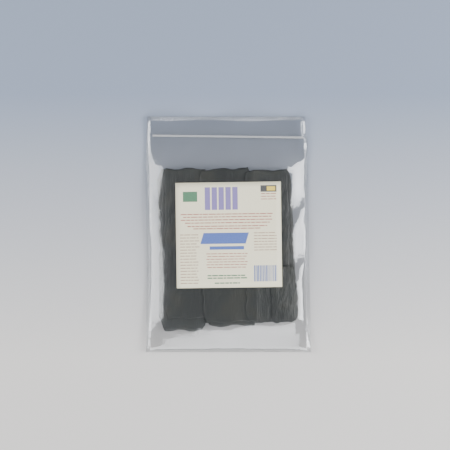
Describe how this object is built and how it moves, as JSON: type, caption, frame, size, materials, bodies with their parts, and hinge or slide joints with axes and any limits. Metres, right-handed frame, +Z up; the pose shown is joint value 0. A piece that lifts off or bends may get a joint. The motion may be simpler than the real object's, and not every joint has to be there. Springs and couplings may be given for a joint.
{
  "type": "bagged dried wakame",
  "caption": "Pressed slab of dried wakame fronds in a clear heat-sealed film bag with a square paper label on its front, lying on its back.",
  "frame": {"origin": "on the surface that the bag lies on, under the middle of the bag's outline", "axes": "+X to the right across the bag as its label is read, +Y up the bag from its bottom to its mouth, +Z up through the label"},
  "size_m": [0.2, 0.284, 0.0192],
  "materials": {
    "clear_film": "glossy",
    "label_paper": "matte",
    "dried_wakame": "satin"
  },
  "bodies": {
    "root": {"bag": "clear_film", "label": "label_paper", "frond_1_left": "dried_wakame", "frond_1_right": "dried_wakame", "frond_1_middle": "dried_wakame", "frond_2_middle": "dried_wakame", "frond_2_left": "dried_wakame", "frond_2_right": "dried_wakame", "frond_3_right": "dried_wakame", "frond_3_middle": "dried_wakame", "frond_3_left": "dried_wakame", "frond_4_left": "dried_wakame", "frond_4_middle": "dried_wakame", "frond_4_right": "dried_wakame", "frond_4_corner": "dried_wakame"}
  },
  "joints": []
}
